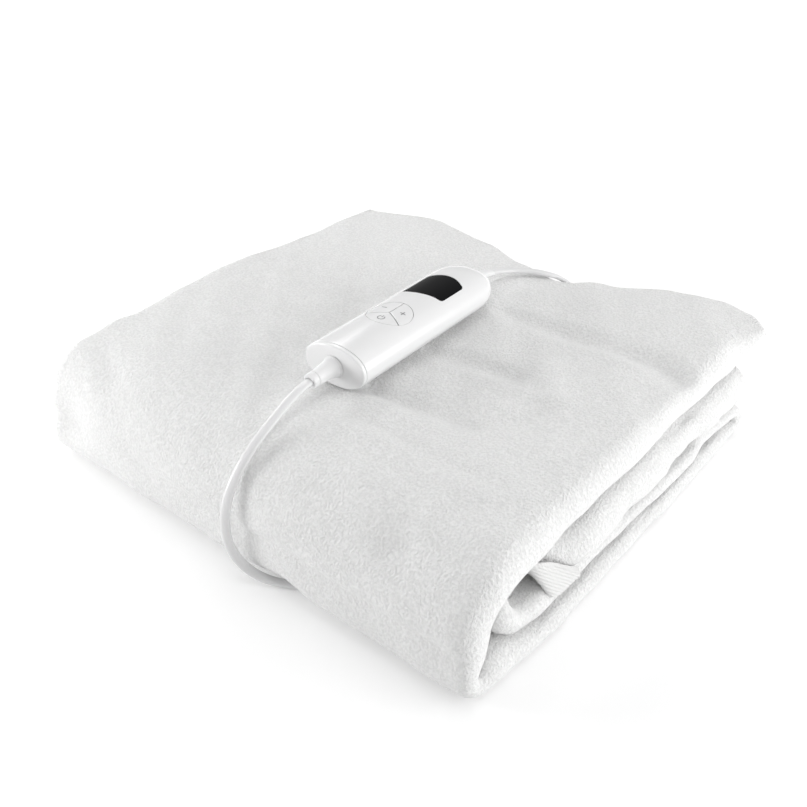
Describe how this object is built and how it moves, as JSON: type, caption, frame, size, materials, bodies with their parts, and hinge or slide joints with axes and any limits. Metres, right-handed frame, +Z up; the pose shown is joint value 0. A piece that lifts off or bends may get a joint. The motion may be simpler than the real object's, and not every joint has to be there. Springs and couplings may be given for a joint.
{
  "type": "heated mattress pad",
  "caption": "White fleece heated mattress pad folded into a thick square bundle, with a white hand control with a dark display on top, and its two flat leads.",
  "frame": {"origin": "on the surface that the pad rests on, under the middle of the folded bundle", "axes": "+Z up; the fold over the front faces -Y, the folded rims face +X, the open edges face -X and the hems face +Y"},
  "size_m": [0.3545, 0.4328, 0.106],
  "materials": {
    "fleece": "matt brushed fleece",
    "webbing": "ribbed elastic",
    "case": "smooth gloss",
    "window": "dark gloss",
    "keys": "smooth gloss",
    "sleeves": "satin",
    "cord": "satin",
    "pins": "plated"
  },
  "bodies": {
    "bundle": {"pad": "fleece", "corner_strap": "webbing", "control_top": "case", "control_base": "case", "display_window": "window", "near_cap": "case", "near_relief": "sleeves", "far_relief": "sleeves", "pad_lead": "cord", "mains_lead": "cord", "mains_coil": "cord", "plug_body": "cord", "plug_pin_left": "pins", "plug_pin_right": "pins"},
    "power": {"key_power": "keys"},
    "plus": {"key_plus": "keys"},
    "minus": {"key_minus": "keys"}
  },
  "joints": [
    {"name": "power_press", "type": "slide", "parent": "bundle", "child": "power", "axis": [0, 0, -1], "range_m": [0, 0.0006], "stiffness_N_per_m": 300, "springref_m": -0.0005},
    {"name": "plus_press", "type": "slide", "parent": "bundle", "child": "plus", "axis": [0, 0, -1], "range_m": [0, 0.0006], "stiffness_N_per_m": 300, "springref_m": -0.0005},
    {"name": "minus_press", "type": "slide", "parent": "bundle", "child": "minus", "axis": [0, 0, -1], "range_m": [0, 0.0006], "stiffness_N_per_m": 300, "springref_m": -0.0005}
  ]
}
